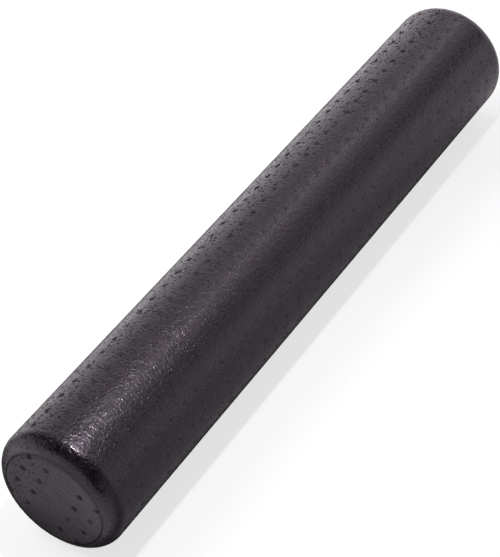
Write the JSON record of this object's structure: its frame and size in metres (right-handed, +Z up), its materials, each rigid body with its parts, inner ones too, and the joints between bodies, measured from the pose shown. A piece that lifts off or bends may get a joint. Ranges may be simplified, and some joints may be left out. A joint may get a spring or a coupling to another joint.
{
  "type": "foam roller",
  "caption": "Long round massage and exercise roller moulded from black bead foam, with flat ends, rounded rims and a dense outer skin.",
  "frame": {"origin": "on the floor, under the middle of the roller, which lies on its side", "axes": "+X along the roller from the near end to the far end, +Y level across it, +Z up"},
  "size_m": [0.9144, 0.1524, 0.1524],
  "materials": {
    "moulded_skin": "black bead foam skin, satin sheen, with a fine mosaic of flattened beads and rows of small steam vent marks",
    "bead_interior": "dull black fused round beads"
  },
  "bodies": {
    "root": {"barrel_skin": "moulded_skin", "near_end_skin": "moulded_skin", "far_end_skin": "moulded_skin", "bead_core": "bead_interior"}
  },
  "joints": []
}
